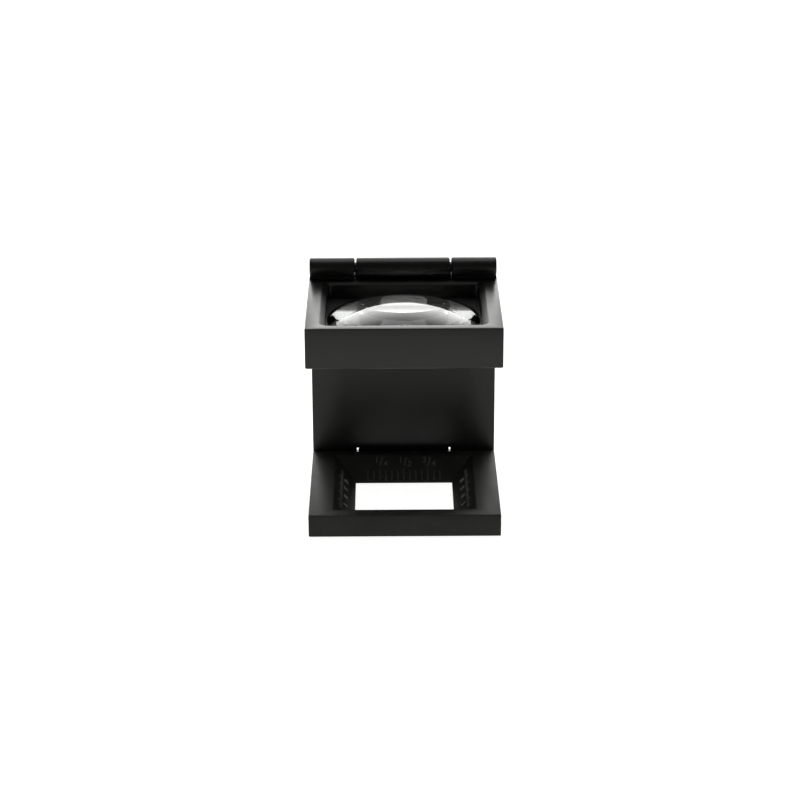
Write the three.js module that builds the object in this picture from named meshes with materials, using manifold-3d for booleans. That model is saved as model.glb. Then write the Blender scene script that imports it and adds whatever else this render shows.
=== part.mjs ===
// Folding viewing loupe: a base frame with a one-inch window, an upright
// panel and a lens head, joined by two knuckle hinges so that it folds flat.
//
// Millimetres, +Z up. X runs across the loupe, Y runs from front to back.
// The origin is the centre of the footprint, on the surface it stands on.

import * as THREE from 'three';
import Module from 'manifold-3d';
import { mergeVertices } from 'three/addons/utils/BufferGeometryUtils.js';

const wasm = await Module();
wasm.setup();

// ---------------------------------------------------------------- dimensions

// Overall layout, measured back from the front face of the base.
const FRONT_Y = -22.4;
const PANEL_FACE_Y = 20.8; // front face of the upright panel
const STOP_GAP = 0.2; // between a part and the face it stops against
const REST_Y = PANEL_FACE_Y - STOP_GAP; // back faces of the base and the head

// Base frame with its bevelled window.
const BASE_W = 48.4;
const BASE_T = 5.9;
const WINDOW = 25.4; // exactly one inch
const WINDOW_BACK_Y = 11.4;
const WINDOW_FRONT_Y = WINDOW_BACK_Y - WINDOW;
const WINDOW_LAND = 0.4; // height of the window's upright lower edge
const BEVEL_SIDE = 5.4; // run of the side and back bevels
const BEVEL_FRONT = 4.8; // run of the front bevel

// Upright panel.
const PANEL_W = 48.4;
const PANEL_T = 1.6;
const HEEL_Z = 0.3; // lower end of the panel, behind the base

// Hinges. The upper barrels are flush with the back of the panel. The lower
// ones lie inside the back rim of the base, under the panel's front face, so
// that the folded panel comes down just above the base's top.
const UPPER_R = 2.5;
const LOWER_R = 1.7;
const LOWER_SETBACK = LOWER_R + STOP_GAP; // axis to the panel's front face
const LOWER_AXIS_Y = PANEL_FACE_Y - LOWER_SETBACK;
const LOWER_AXIS_Z = BASE_T + STOP_GAP - LOWER_SETBACK;
const UPPER_AXIS_Y = PANEL_FACE_Y + PANEL_T - UPPER_R;
const BARREL_CHAMFER = 0.4;
const KNUCKLE_MID = 12.1; // half length of the upper middle knuckle
const LOWER_KNUCKLE = 12.4; // half length of the lower middle knuckle
const KNUCKLE_SIDE = 12.5; // inner end of the side knuckles
const NECK_HALF = 12.44; // half width of the panel's upper neck
const KNUCKLE_GAP = 0.45; // between the head's top and the upper barrels
const SLOT_GAP = 0.12; // round the lower middle knuckle, in its slot
const WEB_FRONT = 1.2; // reach of the head's webs in front of the axis
const NOTCH_INNER = 12.05; // relief notches through the foot of the panel
const NOTCH_BOTTOM = 5.1; // also the top of the lower knuckle's web
const NOTCH_TOP = 6.3;

// Hinge pins: two short ones in each hinge.
const UPPER_PIN_R = 1.3;
const LOWER_PIN_R = 0.8;
const PIN_CLEARANCE = 0.06;
const PIN_OUTER = 23.8;
const PIN_INNER = 4.5;
const BORE_END = 4.0;

// Lens head.
const HEAD_W = 48.8;
const HEAD_FRONT_Y = -19.3;
const HEAD_TOP = 54.4;
const HEAD_BOTTOM = 43.9;
const UPPER_AXIS_Z = HEAD_TOP + KNUCKLE_GAP + UPPER_R;
const OPENING_W = 41.8;
const OPENING_BACK_Y = 18.1;
const OPENING_FRONT_Y = -16.7;
const OPENING_R = 2.6;
const OPENING_BEVEL = 1.35; // run of the bevel round the opening
const OPENING_BEVEL_DROP = 0.9;
const FLOOR_Z = 49.9; // upper face of the lens carrier
const POCKET_HALF_W = 21.0;
const POCKET_BACK_Y = 18.2;
const POCKET_FRONT_Y = -16.8;

// Lens, its carrier and its retainer.
const LENS_Y = 0.7;
const LENS_R = 19.4;
const LENS_HALF_DEPTH = 15.9; // the lens is cut flat at front and back
const LENS_RIM_TOP = 49.4;
const LENS_RIM_BOTTOM = 48.6;
const LENS_TOP_RADIUS = 43;
const LENS_BOTTOM_RADIUS = 55;
const LENS_BOTTOM_FIELD = 18.6; // edge of the lower curve
const LENS_LOWER_HALF_DEPTH = 15.3; // the lower curve's own flats
const LENS_FIT = 0.05;
const CARRIER_BOTTOM = 48.1;
const CARRIER_BORE_R = 18.9;
const CARRIER_HALF_DEPTH = 15.5;
const RETAINER_TOP = 48.05;
const RETAINER_BOTTOM = 47.35;
const RETAINER_R = 18.9;
const RETAINER_HALF_DEPTH = 15.45;

// Engraved scales on the window bevels.
const INCH_PITCH = WINDOW / 16;
const TICK_W = 0.18;
const TICK_DEPTH = 0.12;
const TICK_START = 0.3; // above the window's edge, up the bevel
const TICK_SHORT = 3.2;
const TICK_LONG = 3.9;
const MM_TICK_SHORT = 0.9;
const MM_TICK_LONG = 1.5;
const MM_TICK_RISE = 4.6; // start of the millimetre ticks up the side bevels

// Facets.
const ROUND = 48;
const LENS_ROUND = 96;
const LENS_STEPS = 10;
const CUT = 1; // how far a cutting body runs past the face it opens
const FAR = 60;

// ------------------------------------------------------------------- helpers

function solid(geometry) {
  const g = geometry.clone();
  g.deleteAttribute('normal');
  g.deleteAttribute('uv');
  const merged = mergeVertices(g, 1e-5);
  return new wasm.Manifold(new wasm.Mesh({
    numProp: 3,
    vertProperties: new Float32Array(merged.attributes.position.array),
    triVerts: new Uint32Array(merged.index.array),
  }));
}

function geometryOf(manifold) {
  const mesh = manifold.getMesh();
  const g = new THREE.BufferGeometry();
  g.setAttribute('position', new THREE.BufferAttribute(mesh.vertProperties, 3));
  g.setIndex(new THREE.BufferAttribute(mesh.triVerts, 1));
  g.computeVertexNormals();
  return g;
}

function box(x0, x1, y0, y1, z0, z1) {
  const g = new THREE.BoxGeometry(x1 - x0, y1 - y0, z1 - z0);
  g.translate((x0 + x1) / 2, (y0 + y1) / 2, (z0 + z1) / 2);
  return solid(g);
}

function shapeOf(points) {
  return new THREE.Shape(points.map(([x, y]) => new THREE.Vector2(x, y)));
}

// A (Y, Z) outline extruded along X.
function prismX(points, x0, x1) {
  const g = new THREE.ExtrudeGeometry(shapeOf(points), { depth: x1 - x0, bevelEnabled: false });
  g.applyMatrix4(new THREE.Matrix4().makeBasis(
    new THREE.Vector3(0, 1, 0), new THREE.Vector3(0, 0, 1), new THREE.Vector3(1, 0, 0)));
  g.translate(x0, 0, 0);
  return solid(g);
}

// An (X, Z) outline extruded along -Y from y1 to y0.
function prismY(points, y0, y1) {
  const g = new THREE.ExtrudeGeometry(shapeOf(points), { depth: y1 - y0, bevelEnabled: false });
  g.applyMatrix4(new THREE.Matrix4().makeBasis(
    new THREE.Vector3(1, 0, 0), new THREE.Vector3(0, 0, 1), new THREE.Vector3(0, -1, 0)));
  g.translate(0, y1, 0);
  return solid(g);
}

// A rod along X on the hinge axis { y, z }.
function rod(r, x0, x1, axis) {
  const g = new THREE.CylinderGeometry(r, r, x1 - x0, ROUND);
  g.rotateZ(-Math.PI / 2);
  g.translate((x0 + x1) / 2, axis.y, axis.z);
  return solid(g);
}

// A hinge barrel with chamfered ends.
function barrel(x0, x1, axis) {
  const half = (x1 - x0) / 2;
  const r = axis.barrelR;
  const c = BARREL_CHAMFER;
  const profile = [
    new THREE.Vector2(0, -half),
    new THREE.Vector2(r - c, -half),
    new THREE.Vector2(r, c - half),
    new THREE.Vector2(r, half - c),
    new THREE.Vector2(r - c, half),
    new THREE.Vector2(0, half),
  ];
  const g = new THREE.LatheGeometry(profile, ROUND);
  g.rotateZ(-Math.PI / 2);
  g.translate((x0 + x1) / 2, axis.y, axis.z);
  return solid(g);
}

// A disc cut flat at front and back.
function flatDisc(r, halfDepth, z0, z1) {
  const g = new THREE.CylinderGeometry(r, r, z1 - z0, LENS_ROUND);
  g.rotateX(Math.PI / 2);
  g.translate(0, LENS_Y, (z0 + z1) / 2);
  return solid(g).intersect(box(-FAR, FAR, LENS_Y - halfDepth, LENS_Y + halfDepth, z0 - CUT, z1 + CUT));
}

function roundedRect(halfW, y0, y1, r) {
  const s = new THREE.Shape();
  const quarter = Math.PI / 2;
  s.absarc(halfW - r, y0 + r, r, -quarter, 0);
  s.absarc(halfW - r, y1 - r, r, 0, quarter);
  s.absarc(r - halfW, y1 - r, r, quarter, 2 * quarter);
  s.absarc(r - halfW, y0 + r, r, 2 * quarter, 3 * quarter);
  return s;
}

function mirrored(make) {
  return make(1).add(make(-1));
}

function span(side, a, b) {
  return side > 0 ? [a, b] : [-b, -a];
}

function spherePoints(radius, reach, zApex, up) {
  const points = [];
  for (let i = 0; i <= LENS_STEPS; i += 1) {
    const r = (reach * i) / LENS_STEPS;
    const sag = radius - Math.sqrt(radius * radius - r * r);
    points.push(new THREE.Vector2(r, zApex - up * sag));
  }
  return points;
}

function sagAt(radius, r) {
  return radius - Math.sqrt(radius * radius - r * r);
}

const LOWER = {
  y: LOWER_AXIS_Y, z: LOWER_AXIS_Z, barrelR: LOWER_R, pinR: LOWER_PIN_R,
};
const UPPER = {
  y: UPPER_AXIS_Y, z: UPPER_AXIS_Z, barrelR: UPPER_R, pinR: UPPER_PIN_R,
};

// -------------------------------------------------------------------- pieces

function windowCut() {
  const half = WINDOW / 2;
  const rise = BASE_T - WINDOW_LAND;
  const top = BASE_T + CUT;
  const flare = (run) => run * (1 + CUT / rise);
  const across = prismY([
    [-half, -CUT], [half, -CUT], [half, WINDOW_LAND], [half + flare(BEVEL_SIDE), top],
    [-half - flare(BEVEL_SIDE), top], [-half, WINDOW_LAND],
  ], -FAR, FAR);
  const along = prismX([
    [WINDOW_FRONT_Y, -CUT], [WINDOW_BACK_Y, -CUT], [WINDOW_BACK_Y, WINDOW_LAND],
    [WINDOW_BACK_Y + flare(BEVEL_SIDE), top], [WINDOW_FRONT_Y - flare(BEVEL_FRONT), top],
    [WINDOW_FRONT_Y, WINDOW_LAND],
  ], -FAR, FAR);
  return across.intersect(along);
}

// A groove along a bevel, from `from` to `to` measured up its slope.
function groove(from, to) {
  const g = new THREE.BoxGeometry(TICK_W, to - from, 2 * TICK_DEPTH);
  g.translate(0, (from + to) / 2, 0);
  g.rotateX(Math.atan2(BASE_T - WINDOW_LAND, BEVEL_SIDE));
  return g;
}

function scaleMarks() {
  const marks = [];
  for (let k = 2; k <= 14; k += 1) {
    const g = groove(TICK_START, k % 4 === 0 ? TICK_LONG : TICK_SHORT);
    g.translate(k * INCH_PITCH - WINDOW / 2, WINDOW_BACK_Y, WINDOW_LAND);
    marks.push(solid(g));
  }
  for (const side of [-1, 1]) {
    for (let mm = 1; mm <= 24; mm += 1) {
      const length = mm % 5 === 0 ? MM_TICK_LONG : MM_TICK_SHORT;
      const g = groove(MM_TICK_RISE, MM_TICK_RISE + length);
      g.rotateZ(-side * Math.PI / 2);
      g.translate(side * WINDOW / 2, WINDOW_BACK_Y - mm, WINDOW_LAND);
      marks.push(solid(g));
    }
  }
  return marks;
}

function baseFrame() {
  const half = BASE_W / 2;
  const slotY = LOWER.y - LOWER.barrelR - SLOT_GAP;
  let body = box(-half, half, FRONT_Y, REST_Y, 0, BASE_T);
  body = body.subtract(windowCut());
  body = body.subtract(box(-FAR, FAR, LOWER.y, FAR, LOWER.z, FAR));
  body = body.add(rod(LOWER.barrelR, -half, half, LOWER));
  body = body.subtract(box(-KNUCKLE_SIDE, KNUCKLE_SIDE, slotY, FAR, -CUT, FAR));
  body = body.subtract(sideBores(LOWER));
  for (const mark of scaleMarks()) {
    body = body.subtract(mark);
  }
  return body;
}

// A blind bore into each end of a middle knuckle.
function blindBores(axis) {
  const r = axis.pinR + PIN_CLEARANCE;
  return mirrored((side) => rod(r, ...span(side, BORE_END, KNUCKLE_SIDE), axis));
}

// Bores right through the side knuckles.
function sideBores(axis) {
  const r = axis.pinR + PIN_CLEARANCE;
  return mirrored((side) => rod(r, ...span(side, KNUCKLE_MID, FAR), axis));
}

function uprightPanel() {
  const half = PANEL_W / 2;
  const back = PANEL_FACE_Y + PANEL_T;
  const shoulder = UPPER.z - UPPER.barrelR - STOP_GAP;
  let body = box(-half, half, PANEL_FACE_Y, back, HEEL_Z, shoulder);
  body = body.subtract(mirrored((side) => {
    const [x0, x1] = span(side, NOTCH_INNER, KNUCKLE_SIDE);
    return box(x0, x1, PANEL_FACE_Y - CUT, back + CUT, NOTCH_BOTTOM, NOTCH_TOP);
  }));
  body = body.add(box(
    -LOWER_KNUCKLE, LOWER_KNUCKLE, LOWER.y, PANEL_FACE_Y + PANEL_T / 2,
    LOWER.z - LOWER.barrelR, NOTCH_BOTTOM));
  body = body.add(rod(LOWER.barrelR, -LOWER_KNUCKLE, LOWER_KNUCKLE, LOWER));
  body = body.add(box(-NECK_HALF, NECK_HALF, PANEL_FACE_Y, back, shoulder - CUT, UPPER.z));
  body = body.add(barrel(-KNUCKLE_MID, KNUCKLE_MID, UPPER));
  return body.subtract(blindBores(LOWER)).subtract(blindBores(UPPER));
}

function openingCut() {
  const shape = roundedRect(OPENING_W / 2, OPENING_FRONT_Y, OPENING_BACK_Y, OPENING_R);
  const bodyBottom = FLOOR_Z - CUT;
  const g = new THREE.ExtrudeGeometry(shape, {
    depth: HEAD_TOP - OPENING_BEVEL_DROP - bodyBottom,
    bevelEnabled: true,
    bevelThickness: OPENING_BEVEL_DROP,
    bevelSize: -OPENING_BEVEL,
    bevelSegments: 1,
    curveSegments: 8,
  });
  g.translate(0, 0, bodyBottom);
  return solid(g);
}

function headHousing() {
  const half = HEAD_W / 2;
  let body = box(-half, half, HEAD_FRONT_Y, REST_Y, HEAD_BOTTOM, HEAD_TOP);
  body = body.add(mirrored((side) => {
    const [x0, x1] = span(side, KNUCKLE_SIDE, PANEL_W / 2);
    const web = box(x0, x1, UPPER.y - WEB_FRONT, REST_Y, HEAD_TOP - CUT, UPPER.z);
    return barrel(x0, x1, UPPER).add(web);
  }));
  body = body.subtract(openingCut());
  body = body.subtract(box(
    -POCKET_HALF_W, POCKET_HALF_W, POCKET_FRONT_Y, POCKET_BACK_Y, HEAD_BOTTOM - CUT, FLOOR_Z));
  return body.subtract(sideBores(UPPER));
}

// A plate that fills the pocket under the opening.
function pocketPlate(z0, z1) {
  return box(
    LENS_FIT - POCKET_HALF_W, POCKET_HALF_W - LENS_FIT,
    POCKET_FRONT_Y + LENS_FIT, POCKET_BACK_Y - LENS_FIT, z0, z1);
}

function lensCarrier() {
  const plate = pocketPlate(CARRIER_BOTTOM, FLOOR_Z - LENS_FIT);
  const bore = flatDisc(CARRIER_BORE_R, CARRIER_HALF_DEPTH, CARRIER_BOTTOM - CUT, FLOOR_Z + CUT);
  const seat = flatDisc(
    LENS_R + LENS_FIT, LENS_HALF_DEPTH + LENS_FIT, LENS_RIM_BOTTOM - LENS_FIT, FLOOR_Z + CUT);
  return plate.subtract(bore).subtract(seat);
}

function lensRetainer() {
  const plate = pocketPlate(RETAINER_BOTTOM, RETAINER_TOP);
  return plate.subtract(flatDisc(
    RETAINER_R, RETAINER_HALF_DEPTH, RETAINER_BOTTOM - CUT, RETAINER_TOP + CUT));
}

function lens() {
  const topApex = LENS_RIM_TOP + sagAt(LENS_TOP_RADIUS, LENS_R);
  const bottomApex = LENS_RIM_BOTTOM - sagAt(LENS_BOTTOM_RADIUS, LENS_BOTTOM_FIELD);
  const profile = [
    ...spherePoints(LENS_BOTTOM_RADIUS, LENS_BOTTOM_FIELD, bottomApex, -1),
    new THREE.Vector2(LENS_R, LENS_RIM_BOTTOM),
    ...spherePoints(LENS_TOP_RADIUS, LENS_R, topApex, 1).reverse(),
  ];
  const g = new THREE.LatheGeometry(profile, LENS_ROUND);
  g.rotateX(Math.PI / 2);
  g.translate(0, LENS_Y, 0);
  const round = solid(g);
  const crossCut = (halfDepth, z0) => round.intersect(
    box(-FAR, FAR, LENS_Y - halfDepth, LENS_Y + halfDepth, z0, FAR));
  return crossCut(LENS_HALF_DEPTH, LENS_RIM_BOTTOM).add(crossCut(LENS_LOWER_HALF_DEPTH, 0));
}

function pin(side, axis) {
  return rod(axis.pinR, ...span(side, PIN_INNER, PIN_OUTER), axis);
}

// ------------------------------------------------------------------ assembly

const blackPaint = new THREE.MeshStandardMaterial({ color: 0x262624, roughness: 0.42, metalness: 0.1 });
const matteBlack = new THREE.MeshStandardMaterial({ color: 0x171716, roughness: 0.7, metalness: 0 });
const steel = new THREE.MeshStandardMaterial({ color: 0x3a3a3b, roughness: 0.35, metalness: 1 });
const glass = new THREE.MeshStandardMaterial({
  color: 0xe8efee, roughness: 0.03, metalness: 0, transparent: true, opacity: 0.45,
});

const loupe = new THREE.Group();

function place(name, manifold, material) {
  const mesh = new THREE.Mesh(geometryOf(manifold), material);
  mesh.name = name;
  loupe.add(mesh);
}

place('base_frame', baseFrame(), blackPaint);
place('upright_panel', uprightPanel(), blackPaint);
place('head_housing', headHousing(), blackPaint);
place('lens_carrier', lensCarrier(), matteBlack);
place('lens_retainer', lensRetainer(), matteBlack);
place('lens', lens(), glass);
place('lower_pin_left', pin(-1, LOWER), steel);
place('lower_pin_right', pin(1, LOWER), steel);
place('upper_pin_left', pin(-1, UPPER), steel);
place('upper_pin_right', pin(1, UPPER), steel);

export default loupe;
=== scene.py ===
"""Folding viewing loupe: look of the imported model, in metres."""
import math

import bmesh
import bpy
from mathutils import Matrix, Vector


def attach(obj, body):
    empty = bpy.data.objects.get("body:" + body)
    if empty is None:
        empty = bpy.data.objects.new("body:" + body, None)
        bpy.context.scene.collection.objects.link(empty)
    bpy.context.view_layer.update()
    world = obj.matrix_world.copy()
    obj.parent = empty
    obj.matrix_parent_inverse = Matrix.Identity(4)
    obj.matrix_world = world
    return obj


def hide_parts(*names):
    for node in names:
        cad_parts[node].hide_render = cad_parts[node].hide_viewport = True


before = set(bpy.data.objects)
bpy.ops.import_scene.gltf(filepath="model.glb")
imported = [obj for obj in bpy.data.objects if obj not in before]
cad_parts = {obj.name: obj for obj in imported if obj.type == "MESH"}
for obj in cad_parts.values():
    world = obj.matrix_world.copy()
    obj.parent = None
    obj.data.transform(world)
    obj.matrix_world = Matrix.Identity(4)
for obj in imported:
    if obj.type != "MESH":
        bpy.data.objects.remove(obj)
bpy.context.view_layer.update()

MM = 0.001

# ------------------------------------------------------------ sizes (mm)
# base and window
FRONT_Y = -22.4
STOP_GAP = 0.2
FACE_Y = 20.8
REST_Y = 20.6
BASE_W = 48.4
BASE_T = 5.9
WIN = 25.4
WIN_BACK = 11.4
WIN_FRONT = WIN_BACK - WIN
LAND = 0.4
RUN_SIDE = 5.4
RUN_FRONT = 4.8
# upright and hinges
PANEL_W = 48.4
PANEL_T = 1.6
HEEL_Z = 0.3
UP_R = 2.5
UP_Y = 19.9
UP_Z = 57.35
LOW_R = 1.7
LOW_Y = 18.9
LOW_Z = 4.2
SLOT_GAP = 0.12
MID = 12.1
LOW_MID = 12.4
SIDE = 12.5
NECK = 12.48
NOTCH_INNER = 12.05
NOTCH_BOTTOM = 5.1
NOTCH_TOP = 6.3
WEB_FRONT = 1.2
WEB_OVERLAP = 0.6
# head
HEAD_W = 48.8
HEAD_FRONT = -19.3
HEAD_TOP = 54.4
HEAD_BOTTOM = 43.9
OPEN_HALF = 20.9
OPEN_BACK = 18.1
OPEN_FRONT = -16.7
OPEN_R = 2.6
FLOOR_Z = 49.9
POCKET_HALF = 21.0
POCKET_FRONT = -16.8
POCKET_BACK = 18.2
# lens
LENS_Y = 0.7
LENS_R = 19.4
LENS_HALF = 15.9
LENS_RIM_TOP = 49.4
LENS_RIM_BOTTOM = 48.6
LENS_TOP_RADIUS = 43.0
LENS_LOW_RADIUS = 55.0
LENS_LOW_FIELD = 18.6
LENS_LOW_HALF = 15.3
LENS_EDGE = 0.15
BELOW_LENS = 40.0
# pins
UP_PIN_R = 1.3
LOW_PIN_R = 0.8
PIN_FIT = 0.06
BORE_END = 4.0
PIN_OUTER = 23.8
PIN_INNER = 4.5
# edge rounding
UP_ROUND = 0.42
PIN_ROUND = 0.2
BASE_ROUND = 0.3
RIM_ROUND = 0.16
PANEL_ROUND = 0.22
HEAD_ROUND = 0.38
# scale marks: distances up the bevel, and widths
RELIEF = 0.05
TICK_INSET = 0.03
INCH_DIVISIONS = 16
INCH_TICK_START = 0.35
INCH_TICK_END = 3.2
QUARTER_TICK_END = 3.9
INCH_TICK_W = 0.24
FRACTION_SHIFT = 0.3
FRACTION_Y = 5.6
FRACTION_SIZE = 3.2
MM_TICK_START = 4.6
MM_TICK_END = 5.5
FIVE_TICK_END = 6.1
MM_TICK_W = 0.2
MM_FIGURE_Y = 3.4
MM_FIGURE_SIZE = 1.9
# working values
NEAR = 0.1
FAR = 60.0

SHARP = 0.3  # radians between faces
SENSOR_MM = 36
FRAME_PX = 800


# ------------------------------------------------------------ mesh helpers
def new_object(name, bm):
    bmesh.ops.recalc_face_normals(bm, faces=bm.faces[:])
    mesh = bpy.data.meshes.new(name)
    bm.to_mesh(mesh)
    bm.free()
    obj = bpy.data.objects.new(name, mesh)
    bpy.context.scene.collection.objects.link(obj)
    return obj


def box_bm(x0, x1, y0, y1, z0, z1):
    bm = bmesh.new()
    bmesh.ops.create_cube(bm, size=1.0)
    size = Vector((x1 - x0, y1 - y0, z1 - z0)) * MM
    mid = Vector((x0 + x1, y0 + y1, z0 + z1)) * (0.5 * MM)
    for v in bm.verts:
        v.co = Vector((v.co.x * size.x, v.co.y * size.y, v.co.z * size.z)) + mid
    return bm


def rings_bm(rings):
    """A closed body through rings of equal length, first to last."""
    bm = bmesh.new()
    made = [[bm.verts.new(Vector(p) * MM) for p in ring] for ring in rings]
    for a, b in zip(made, made[1:]):
        for i in range(len(a)):
            j = (i + 1) % len(a)
            bm.faces.new((a[i], a[j], b[j], b[i]))
    bm.faces.new(made[0])
    bm.faces.new(made[-1])
    return bm


def lathe_x(profile, y, z, count=96):
    """(x, r) points turned about an axis along X."""
    rings = []
    for x, r in profile:
        ring = []
        for i in range(count):
            a = 2 * math.pi * (i + 0.5) / count
            ring.append((x, y + r * math.cos(a), z + r * math.sin(a)))
        rings.append(ring)
    return rings_bm(rings)


def rounded_ends(x0, x1, r, lip):
    """(x, r) profile of a rod whose ends are rounded by lip."""
    steps = 5
    start = []
    for i in range(steps + 1):
        a = 0.5 * math.pi * i / steps
        start.append((x0 + lip * (1 - math.cos(a)), r - lip * (1 - math.sin(a))))
    return start + [(x0 + x1 - x, rr) for x, rr in reversed(start)]


def barrel(name, x0, x1):
    return new_object(name, lathe_x(rounded_ends(x0, x1, UP_R, UP_ROUND), UP_Y, UP_Z))


def rod(name, x0, x1, r, y, z):
    return new_object(name, lathe_x([(x0, r), (x1, r)], y, z))


def span(side, a, b):
    return (a, b) if side > 0 else (-b, -a)


def boolean(target, cutters, operation):
    for cutter in cutters:
        mod = target.modifiers.new("cut", "BOOLEAN")
        mod.operation = operation
        mod.solver = "EXACT"
        mod.object = cutter
        bpy.context.view_layer.update()
        graph = bpy.context.evaluated_depsgraph_get()
        mesh = bpy.data.meshes.new_from_object(target.evaluated_get(graph))
        target.modifiers.clear()
        old = target.data
        target.data = mesh
        bpy.data.meshes.remove(old)
        old_cut = cutter.data
        bpy.data.objects.remove(cutter)
        bpy.data.meshes.remove(old_cut)
    return target


def round_edges(bm, width, test, segments=3):
    edges = []
    for e in bm.edges:
        if len(e.link_faces) != 2:
            continue
        mid = (e.verts[0].co + e.verts[1].co) / (2 * MM)
        along = (e.verts[1].co - e.verts[0].co).normalized()
        if e.calc_face_angle(0.0) > SHARP and test(mid, along):
            edges.append(e)
    bmesh.ops.bevel(bm, geom=edges, offset=width * MM, segments=segments,
                    profile=0.5, affect="EDGES", clamp_overlap=True)


def round_object(obj, width, test, segments=3):
    bm = bmesh.new()
    bm.from_mesh(obj.data)
    round_edges(bm, width, test, segments)
    bm.to_mesh(obj.data)
    bm.free()


def smooth(obj, angle=28):
    for p in obj.data.polygons:
        p.use_smooth = True
    obj.data.set_sharp_from_angle(angle=math.radians(angle))


def finish_piece(obj, body, node, material):
    smooth(obj)
    obj.data.materials.clear()
    obj.data.materials.append(material)
    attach(obj, body)
    if node:
        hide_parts(node)


# ------------------------------------------------------------ materials
def material(name, color, rough, rough_var, grain, bump, metallic=0.0, wear=0.0,
             wear_color=(0.2, 0.2, 0.19), spec=0.5):
    m = bpy.data.materials.new(name)
    m.use_nodes = True
    nt = m.node_tree
    n, l = nt.nodes, nt.links
    shader = n["Principled BSDF"]
    shader.inputs["Metallic"].default_value = metallic
    shader.inputs["Specular IOR Level"].default_value = spec
    coord = n.new("ShaderNodeTexCoord")
    fine = n.new("ShaderNodeTexNoise")
    fine.inputs["Scale"].default_value = grain
    fine.inputs["Detail"].default_value = 4
    broad = n.new("ShaderNodeTexNoise")
    broad.inputs["Scale"].default_value = grain * 0.06
    broad.inputs["Detail"].default_value = 6
    l.new(coord.outputs["Object"], fine.inputs["Vector"])
    l.new(coord.outputs["Object"], broad.inputs["Vector"])
    tint = n.new("ShaderNodeValToRGB")
    tint.color_ramp.elements[0].position = 0.35
    tint.color_ramp.elements[1].position = 0.7
    tint.color_ramp.elements[0].color = (*[c * 0.82 for c in color], 1)
    tint.color_ramp.elements[1].color = (*[c * 1.15 for c in color], 1)
    l.new(broad.outputs["Fac"], tint.inputs["Fac"])
    base = tint.outputs["Color"]
    if wear:
        geo = n.new("ShaderNodeNewGeometry")
        edge = n.new("ShaderNodeValToRGB")
        edge.color_ramp.elements[0].position = 0.53
        edge.color_ramp.elements[1].position = 0.60
        edge.color_ramp.elements[1].color = (wear, wear, wear, 1)
        l.new(geo.outputs["Pointiness"], edge.inputs["Fac"])
        mix = n.new("ShaderNodeMix")
        mix.data_type = "RGBA"
        mix.inputs["B"].default_value = (*wear_color, 1)
        l.new(edge.outputs["Color"], mix.inputs["Factor"])
        l.new(base, mix.inputs["A"])
        base = mix.outputs["Result"]
    l.new(base, shader.inputs["Base Color"])
    rmap = n.new("ShaderNodeMapRange")
    rmap.inputs["To Min"].default_value = rough - rough_var
    rmap.inputs["To Max"].default_value = rough + rough_var
    rmap.inputs["From Min"].default_value = 0.3
    rmap.inputs["From Max"].default_value = 0.7
    l.new(broad.outputs["Fac"], rmap.inputs["Value"])
    l.new(rmap.outputs["Result"], shader.inputs["Roughness"])
    bmp = n.new("ShaderNodeBump")
    bmp.inputs["Strength"].default_value = bump
    bmp.inputs["Distance"].default_value = 0.00002
    l.new(fine.outputs["Fac"], bmp.inputs["Height"])
    l.new(bmp.outputs["Normal"], shader.inputs["Normal"])
    return m


PAINT = material("black_satin_paint", (0.0075, 0.0075, 0.0068), 0.33, 0.03, 2600, 0.08, spec=0.22,
                 wear=0.25, wear_color=(0.03, 0.03, 0.028))
# A shaded copy of the black paint: less shine darkens the base rims, where the upright casts
# shade, and a lighter colour paints back the sheen that the front face loses.
BASE_SHADED_COPY_PAINT = material("base_paint_shaded_copy", (0.02, 0.02, 0.018), 0.46, 0.04, 2600, 0.08,
                      spec=0.1, wear=0.25, wear_color=(0.03, 0.03, 0.028))
MATTE = material("matte_black_moulding", (0.005, 0.005, 0.0045), 0.5, 0.06, 3200, 0.3, spec=0.3)
STEEL = material("blackened_steel", (0.045, 0.045, 0.046), 0.3, 0.05, 1800, 0.15, metallic=1.0)
# Painted highlight: the raised scale marks carry the same black paint, and this lighter colour
# stands in for the light they catch.
SCALE_HIGHLIGHT_PAINT = material("scale_marks_painted_highlight", (0.06, 0.06, 0.054), 0.34, 0.05, 2400, 0.2)
# Painted highlight: the side scale marks are black-painted as well, and this much lighter grey
# stands in for the bright glints on the side bevels.
SIDE_SCALE_HIGHLIGHT_PAINT = material("side_scale_marks_painted_highlight", (0.3, 0.3, 0.28), 0.36, 0.05, 2400, 0.2)


def glass_material():
    m = bpy.data.materials.new("polished_glass")
    m.use_nodes = True
    n, l = m.node_tree.nodes, m.node_tree.links
    shader = n["Principled BSDF"]
    shader.inputs["Transmission Weight"].default_value = 1.0
    shader.inputs["IOR"].default_value = 1.52
    coord = n.new("ShaderNodeTexCoord")
    haze = n.new("ShaderNodeTexNoise")
    haze.inputs["Scale"].default_value = 90
    haze.inputs["Detail"].default_value = 5
    l.new(coord.outputs["Object"], haze.inputs["Vector"])
    tint = n.new("ShaderNodeValToRGB")
    tint.color_ramp.elements[0].color = (0.965, 0.985, 0.975, 1)
    tint.color_ramp.elements[1].color = (0.99, 0.998, 0.99, 1)
    l.new(haze.outputs["Fac"], tint.inputs["Fac"])
    l.new(tint.outputs["Color"], shader.inputs["Base Color"])
    rough = n.new("ShaderNodeMapRange")
    rough.inputs["To Min"].default_value = 0.0
    rough.inputs["To Max"].default_value = 0.02
    l.new(haze.outputs["Fac"], rough.inputs["Value"])
    l.new(rough.outputs["Result"], shader.inputs["Roughness"])
    return m


GLASS = glass_material()


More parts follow.
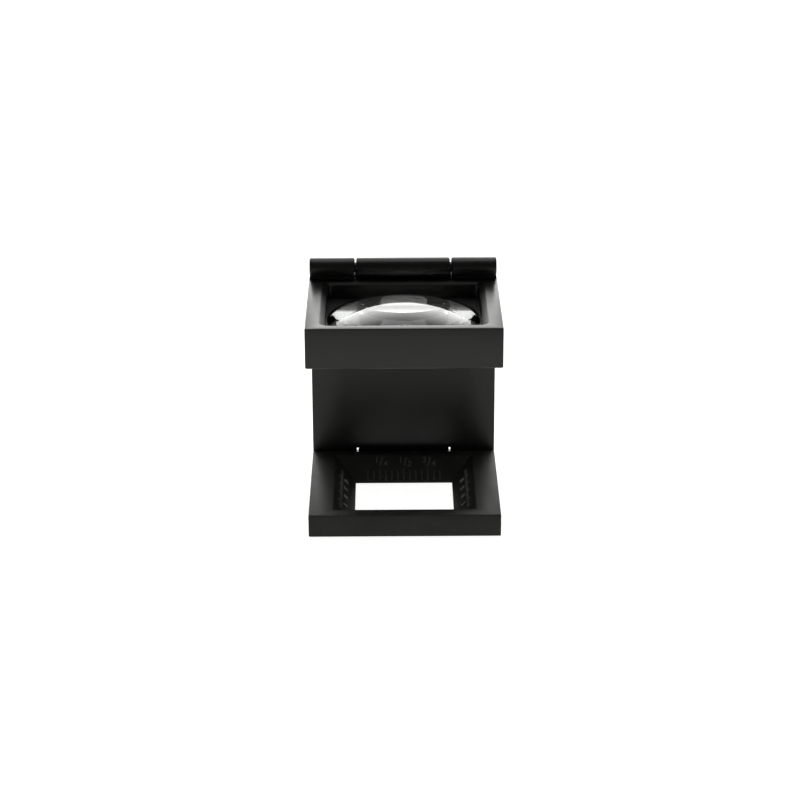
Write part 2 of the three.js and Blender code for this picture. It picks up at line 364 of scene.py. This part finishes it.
# ------------------------------------------------------------ base
def window_cutter():
    half = WIN / 2
    rise = BASE_T - LAND

    def ring(x, y0, y1, z):
        return [(-x, y0, z), (x, y0, z), (x, y1, z), (-x, y1, z)]

    top = BASE_T + 1
    k = 1 + 1 / rise
    return new_object("cut", rings_bm([
        ring(half, WIN_FRONT, WIN_BACK, -1),
        ring(half, WIN_FRONT, WIN_BACK, LAND),
        ring(half + RUN_SIDE * k, WIN_FRONT - RUN_FRONT * k, WIN_BACK + RUN_SIDE * k, top),
    ]))


def base_outline():
    """The frame's (y, z) section, with its rounded hinge corner."""
    points = [(FRONT_Y, 0), (REST_Y, 0)]
    steps = 12
    for i in range(steps + 1):
        a = 0.5 * math.pi * i / steps
        points.append((LOW_Y + LOW_R * math.cos(a), LOW_Z + LOW_R * math.sin(a)))
    points.append((FRONT_Y, BASE_T))
    return points


def make_base():
    half = BASE_W / 2
    outline = base_outline()
    body = new_object("base_body", rings_bm([[(x, y, z) for y, z in outline]
                                             for x in (-half, half)]))
    boolean(body, [window_cutter()], "DIFFERENCE")

    def outer(mid, _):
        on_side = abs(abs(mid.x) - half) < 0.05
        on_front = abs(mid.y - FRONT_Y) < 0.05
        return on_side or on_front

    round_object(body, BASE_ROUND, outer)

    def rim(mid, _):
        return (abs(mid.z - BASE_T) < 0.01
                and abs(mid.x) < WIN / 2 + RUN_SIDE + NEAR
                and WIN_FRONT - RUN_FRONT - NEAR < mid.y < WIN_BACK + RUN_SIDE + NEAR)

    round_object(body, RIM_ROUND, rim, 2)
    slot_y = LOW_Y - LOW_R - SLOT_GAP
    slot = new_object("cut", box_bm(-SIDE, SIDE, slot_y, FAR, -1, BASE_T + 1))
    bores = [rod("cut", *span(sx, MID, FAR), LOW_PIN_R + PIN_FIT, LOW_Y, LOW_Z)
             for sx in (-1, 1)]
    boolean(body, [slot] + bores, "DIFFERENCE")
    # painted shade and sheen: the base takes the shaded, lighter copy of the black paint
    finish_piece(body, "base", "base_frame", BASE_SHADED_COPY_PAINT)


make_base()


# ------------------------------------------------------------ upright
def make_upright():
    back = FACE_Y + PANEL_T
    half = PANEL_W / 2
    shoulder = UP_Z - UP_R - STOP_GAP
    plate = new_object("upright_body", box_bm(-half, half, FACE_Y, back, HEEL_Z, shoulder))

    def outer(mid, along):
        return abs(abs(mid.x) - half) < 0.02 and abs(along.z) > 0.9

    round_object(plate, PANEL_ROUND, outer)
    notches = [new_object("cut", box_bm(*span(sx, NOTCH_INNER, SIDE), FACE_Y - 1, back + 1,
                                        NOTCH_BOTTOM, NOTCH_TOP)) for sx in (-1, 1)]
    boolean(plate, notches, "DIFFERENCE")
    neck = new_object("cut", box_bm(-NECK, NECK, FACE_Y, back, shoulder - 1, UP_Z))
    web = new_object("cut", box_bm(-LOW_MID, LOW_MID, LOW_Y, FACE_Y + 0.5 * PANEL_T,
                                   LOW_Z - LOW_R, NOTCH_BOTTOM))
    knuckle = rod("cut", -LOW_MID, LOW_MID, LOW_R, LOW_Y, LOW_Z)
    boolean(plate, [neck, web, knuckle, barrel("cut", -MID, MID)], "UNION")
    for r, y, z in ((LOW_PIN_R, LOW_Y, LOW_Z), (UP_PIN_R, UP_Y, UP_Z)):
        bores = [rod("cut", *span(sx, BORE_END, SIDE), r + PIN_FIT, y, z) for sx in (-1, 1)]
        boolean(plate, bores, "DIFFERENCE")
    finish_piece(plate, "upright", "upright_panel", PAINT)


make_upright()


# ------------------------------------------------------------ head
def rounded_ring(offset, z, steps=10):
    half = OPEN_HALF + offset
    y0, y1 = OPEN_FRONT - offset, OPEN_BACK + offset
    r = OPEN_R + offset
    corners = [(half - r, y0 + r, -90), (half - r, y1 - r, 0),
               (r - half, y1 - r, 90), (r - half, y0 + r, 180)]
    ring = []
    for cx, cy, start in corners:
        for i in range(steps + 1):
            a = math.radians(start + 90 * i / steps)
            ring.append((cx + r * math.cos(a), cy + r * math.sin(a), z))
    return ring


def opening_cutter():
    """(offset, z) steps of the opening's bevel, from the pocket up."""
    t = HEAD_TOP
    profile = [
        (-1.35, FLOOR_Z - 1), (-1.35, t - 1.08), (-1.32, t - 0.98), (-1.25, t - 0.90),
        (-0.10, t - 0.14), (0.02, t - 0.06), (0.16, t - 0.015), (0.30, t + 0.002),
        (0.30, t + 1),
    ]
    return new_object("cut", rings_bm([rounded_ring(o, z) for o, z in profile]))


def make_head():
    half = HEAD_W / 2
    bm = box_bm(-half, half, HEAD_FRONT, REST_Y, HEAD_BOTTOM, HEAD_TOP)
    body = new_object("head_body", bm)
    pocket = new_object("cut", box_bm(-POCKET_HALF, POCKET_HALF, POCKET_FRONT, POCKET_BACK,
                                      HEAD_BOTTOM - 1, FLOOR_Z))

    def outer(mid, _):
        return mid.y < REST_Y - NEAR

    round_object(body, HEAD_ROUND, outer)
    boolean(body, [opening_cutter(), pocket], "DIFFERENCE")
    for sx in (-1, 1):
        x0, x1 = span(sx, SIDE, PANEL_W / 2)
        web = new_object("cut", box_bm(x0, x1, UP_Y - WEB_FRONT, REST_Y,
                                       HEAD_TOP - WEB_OVERLAP, UP_Z))
        boolean(body, [web, barrel("cut", x0, x1)], "UNION")
        bore = rod("cut", *span(sx, MID, FAR), UP_PIN_R + PIN_FIT, UP_Y, UP_Z)
        boolean(body, [bore], "DIFFERENCE")
    finish_piece(body, "head", "head_housing", PAINT)


make_head()


# ------------------------------------------------------------ lens
def sag(radius, r):
    return radius - math.sqrt(radius * radius - r * r)


def lens_profile(steps=28):
    """(r, z) from the lower apex round the rim to the upper apex."""
    low = LENS_RIM_BOTTOM - sag(LENS_LOW_RADIUS, LENS_LOW_FIELD)
    top = LENS_RIM_TOP + sag(LENS_TOP_RADIUS, LENS_R)
    centre = 0.0001
    profile = [(centre, low)]
    for i in range(1, steps + 1):
        r = LENS_LOW_FIELD * i / steps
        profile.append((r, low + sag(LENS_LOW_RADIUS, r)))
    profile.append((LENS_R - LENS_EDGE, LENS_RIM_BOTTOM))
    profile.append((LENS_R, LENS_RIM_BOTTOM + LENS_EDGE))
    for i in range(steps, 0, -1):
        r = LENS_R * i / steps
        profile.append((r, top - sag(LENS_TOP_RADIUS, r)))
    profile.append((centre, top))
    return profile


def lens_between(half_depth, z_low, count=192):
    """The lens above z_low, cut flat at half_depth to the front and back."""
    rings = []
    for r, z in lens_profile():
        ring = []
        for i in range(count):
            a = 2 * math.pi * i / count
            ring.append((r * math.cos(a), LENS_Y + r * math.sin(a), z))
        rings.append(ring)
    obj = new_object("cut", rings_bm(rings))
    keep = new_object("cut", box_bm(-FAR, FAR, LENS_Y - half_depth, LENS_Y + half_depth,
                                    z_low, FAR))
    return boolean(obj, [keep], "INTERSECT")


def make_lens():
    lens = lens_between(LENS_HALF, LENS_RIM_BOTTOM)
    lens.name = "lens_glass"
    boolean(lens, [lens_between(LENS_LOW_HALF, BELOW_LENS)], "UNION")
    finish_piece(lens, "head", "lens", GLASS)


make_lens()


# ------------------------------------------------------------ pins
def make_pin(name, sx, r, y, z, body, node):
    profile = rounded_ends(*span(sx, PIN_INNER, PIN_OUTER), r, PIN_ROUND)
    pin = new_object(name, lathe_x(profile, y, z, 64))
    finish_piece(pin, body, node, STEEL)


for side, sx in (("left", -1), ("right", 1)):
    make_pin("lower_pin_%s_turned" % side, sx, LOW_PIN_R, LOW_Y, LOW_Z,
             "base", "lower_pin_" + side)
    make_pin("upper_pin_%s_turned" % side, sx, UP_PIN_R, UP_Y, UP_Z,
             "head", "upper_pin_" + side)


# ------------------------------------------------------------ scale marks
def bevel_frame(side):
    """Origin on the window's lower edge, x along it, y up the bevel."""
    rise = BASE_T - LAND
    slope = math.atan2(rise, RUN_SIDE)
    up = Vector((0, math.cos(slope), math.sin(slope)))
    along = Vector((1, 0, 0))
    normal = along.cross(up)
    m = Matrix((along, up, normal)).transposed().to_4x4()
    if side == "back":
        turn = Matrix.Identity(4)
        origin = Vector((0, WIN_BACK, LAND))
    else:
        sx = -1 if side == "left" else 1
        turn = Matrix.Rotation(math.radians(-90 * sx), 4, "Z")
        origin = Vector((sx * WIN / 2, (WIN_BACK + WIN_FRONT) / 2, LAND))
    return Matrix.Translation(origin * MM) @ turn @ m


def add_bar(bm, matrix, x, y0, y1, width):
    verts = []
    for z in (-RELIEF, RELIEF):
        inset = 0.0 if z < 0 else TICK_INSET
        for px, py in ((x - width / 2 + inset, y0 + inset), (x + width / 2 - inset, y0 + inset),
                       (x + width / 2 - inset, y1 - inset), (x - width / 2 + inset, y1 - inset)):
            verts.append(bm.verts.new(matrix @ (Vector((px, py, z)) * MM)))
    low, high = verts[:4], verts[4:]
    bm.faces.new(low[::-1])
    bm.faces.new(high)
    for i in range(4):
        j = (i + 1) % 4
        bm.faces.new((low[i], low[j], high[j], high[i]))


def add_text(bm, matrix, text, x, y, size):
    curve = bpy.data.curves.new("figure", "FONT")
    curve.body = text
    curve.size = size * MM
    curve.align_x = "CENTER"
    curve.align_y = "CENTER"
    curve.extrude = RELIEF * MM
    curve.offset = 0.018 * size * MM
    curve.resolution_u = 3
    obj = bpy.data.objects.new("figure", curve)
    bpy.context.scene.collection.objects.link(obj)
    bpy.context.view_layer.update()
    graph = bpy.context.evaluated_depsgraph_get()
    mesh = bpy.data.meshes.new_from_object(obj.evaluated_get(graph))
    mesh.transform(matrix @ Matrix.Translation(Vector((x, y, 0)) * MM))
    bm.from_mesh(mesh)
    bpy.data.objects.remove(obj)
    bpy.data.curves.remove(curve)
    bpy.data.meshes.remove(mesh)


def fraction(bm, matrix, top, bottom, x, y, size):
    add_text(bm, matrix, top, x - 0.36 * size, y + 0.17 * size, size * 0.7)
    add_text(bm, matrix, "/", x + 0.02 * size, y, size)
    add_text(bm, matrix, bottom, x + 0.40 * size, y - 0.17 * size, size * 0.7)


def make_inch_scale():
    bm = bmesh.new()
    m = bevel_frame("back")
    pitch = WIN / INCH_DIVISIONS
    for k in range(2, INCH_DIVISIONS - 1):
        end = QUARTER_TICK_END if k % 4 == 0 else INCH_TICK_END
        add_bar(bm, m, k * pitch - WIN / 2, INCH_TICK_START, end, INCH_TICK_W)
    for k, top, bottom in ((4, "1", "4"), (8, "1", "2"), (12, "3", "4")):
        x = k * pitch - WIN / 2 + FRACTION_SHIFT
        fraction(bm, m, top, bottom, x, FRACTION_Y, FRACTION_SIZE)
    # the inch marks take the painted-highlight colour in place of the light the raised relief
    # catches
    finish_piece(new_object("inch_scale", bm), "base", None, SCALE_HIGHLIGHT_PAINT)


def make_mm_scale(side):
    bm = bmesh.new()
    m = bevel_frame(side)
    for k in range(1, 25):
        end = FIVE_TICK_END if k % 5 == 0 else MM_TICK_END
        add_bar(bm, m, k - WIN / 2, MM_TICK_START, end, MM_TICK_W)
    for k in (5, 10, 15, 20):
        figure = str(k if side == "left" else 25 - k)
        add_text(bm, m, figure, k - WIN / 2, MM_FIGURE_Y, MM_FIGURE_SIZE)
    # the mm marks take the painted-highlight grey in place of the glints on the side bevels
    finish_piece(new_object("mm_scale_" + side, bm), "base", None, SIDE_SCALE_HIGHLIGHT_PAINT)


make_inch_scale()
make_mm_scale("left")
make_mm_scale("right")


# ------------------------------------------------------------ kept CAD nodes
def keep_node(name, mat):
    obj = bpy.data.objects[name]
    obj.data.materials.clear()
    obj.data.materials.append(mat)
    mod = obj.modifiers.new("edge", "BEVEL")
    mod.width = 0.00012
    mod.segments = 2
    mod.limit_method = "ANGLE"
    mod.angle_limit = math.radians(40)


keep_node("lens_carrier", MATTE)
keep_node("lens_retainer", MATTE)


# ------------------------------------------------------------ camera
def make_camera():
    focal_px, pitch, roll, yaw = 2355.621, 21.492, -0.244, 0.217
    cx, cy, cz = -0.920, -581.489, 248.88
    t, r = math.radians(pitch), math.radians(roll)
    right = Vector((1, 0, 0))
    fwd = Vector((0, math.cos(t), -math.sin(t)))
    up = Vector((0, math.sin(t), math.cos(t)))
    right, up = (right * math.cos(r) + up * math.sin(r),
                 up * math.cos(r) - right * math.sin(r))
    m = Matrix((right, up, -fwd)).transposed().to_4x4()
    m = Matrix.Translation((cx * MM, cy * MM, cz * MM)) @ m
    m = Matrix.Rotation(math.radians(-yaw), 4, "Z") @ m
    m = Matrix.Translation((0, FACE_Y * MM, 0)) @ m
    data = bpy.data.cameras.new("camera")
    data.sensor_width = SENSOR_MM
    data.lens = focal_px * SENSOR_MM / FRAME_PX
    data.clip_start = 0.01
    data.clip_end = 50
    cam = bpy.data.objects.new("camera", data)
    cam.matrix_world = m
    bpy.context.scene.collection.objects.link(cam)
    bpy.context.scene.camera = cam


make_camera()


# ------------------------------------------------------------ studio
def make_world():
    world = bpy.data.worlds.new("studio")
    bpy.context.scene.world = world
    world.use_nodes = True
    n, l = world.node_tree.nodes, world.node_tree.links
    bg = n["Background"]
    coord = n.new("ShaderNodeTexCoord")
    sep = n.new("ShaderNodeSeparateXYZ")
    l.new(coord.outputs["Generated"], sep.inputs["Vector"])
    ramp = n.new("ShaderNodeMapRange")
    ramp.inputs["From Min"].default_value = 0.6
    ramp.inputs["From Max"].default_value = 0.92
    ramp.inputs["To Min"].default_value = 0.12
    ramp.inputs["To Max"].default_value = 4.6
    ramp.interpolation_type = "SMOOTHSTEP"
    l.new(sep.outputs["Y"], ramp.inputs["Value"])
    l.new(ramp.outputs["Result"], bg.inputs["Strength"])
    bg.inputs["Color"].default_value = (1.0, 1.0, 0.985, 1)


make_world()


def make_floor():
    bm = bmesh.new()
    bmesh.ops.create_grid(bm, x_segments=1, y_segments=1, size=3.0)
    floor = new_object("floor", bm)
    floor.location = (0, 0, -0.00002)
    m = bpy.data.materials.new("paper_floor")
    m.use_nodes = True
    n, l = m.node_tree.nodes, m.node_tree.links
    shader = n["Principled BSDF"]
    shader.inputs["Roughness"].default_value = 0.9
    shader.inputs["Specular IOR Level"].default_value = 0.1
    shader.inputs["Emission Color"].default_value = (1, 1, 0.99, 1)
    shader.inputs["Emission Strength"].default_value = 0.9
    coord = n.new("ShaderNodeTexCoord")
    noise = n.new("ShaderNodeTexNoise")
    noise.inputs["Scale"].default_value = 40
    l.new(coord.outputs["Object"], noise.inputs["Vector"])
    tint = n.new("ShaderNodeValToRGB")
    tint.color_ramp.elements[0].color = (0.62, 0.62, 0.615, 1)
    tint.color_ramp.elements[1].color = (0.66, 0.66, 0.655, 1)
    l.new(noise.outputs["Fac"], tint.inputs["Fac"])
    l.new(tint.outputs["Color"], shader.inputs["Base Color"])
    floor.data.materials.append(m)


make_floor()


def area_light(name, location, target, size, power):
    data = bpy.data.lights.new(name, "AREA")
    data.shape = "RECTANGLE"
    data.size, data.size_y = size
    data.energy = power
    obj = bpy.data.objects.new(name, data)
    obj.location = location
    direction = Vector(target) - Vector(location)
    obj.rotation_euler = direction.to_track_quat("-Z", "Y").to_euler()
    bpy.context.scene.collection.objects.link(obj)


area_light("overhead", (0, 0.2, 0.68), (0, 0, 0), (0.6, 0.5), 2.3)

bpy.context.scene.view_settings.view_transform = "Standard"
